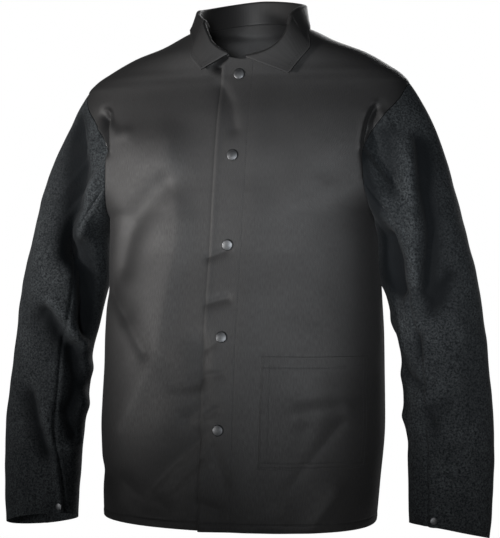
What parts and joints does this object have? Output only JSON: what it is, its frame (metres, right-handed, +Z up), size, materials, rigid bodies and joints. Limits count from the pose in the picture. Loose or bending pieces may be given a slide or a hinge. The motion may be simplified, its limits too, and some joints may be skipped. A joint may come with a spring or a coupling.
{
  "type": "welding jacket",
  "caption": "Hip-length welding jacket with a dark cotton body, split-leather sleeves, turned-down collar, lapped snap front and a patch pocket, shown fastened and filled out.",
  "frame": {"origin": "midway between the shoulders, level with the neck ends of the shoulder seams, where the jacket hangs on its wearer", "axes": "+Z up, -Y the way the wearer faces, +X the wearer's left"},
  "size_m": [0.8001, 0.2473, 0.8742],
  "materials": {
    "cotton": "flame-resistant cotton sateen, soft sheen",
    "suede": "split leather with a napped surface",
    "gunmetal": "dark nickel snap caps"
  },
  "bodies": {
    "root": {"front_left": "cotton", "front_right": "cotton", "back_panel": "cotton", "collar": "cotton", "pocket": "cotton", "sleeve_upper_left": "suede", "sleeve_under_left": "suede", "sleeve_upper_right": "suede", "sleeve_under_right": "suede", "front_snap_1": "gunmetal", "front_snap_2": "gunmetal", "front_snap_3": "gunmetal", "front_snap_4": "gunmetal", "front_snap_5": "gunmetal", "cuff_snap_left": "gunmetal", "cuff_snap_right": "gunmetal"}
  },
  "joints": []
}
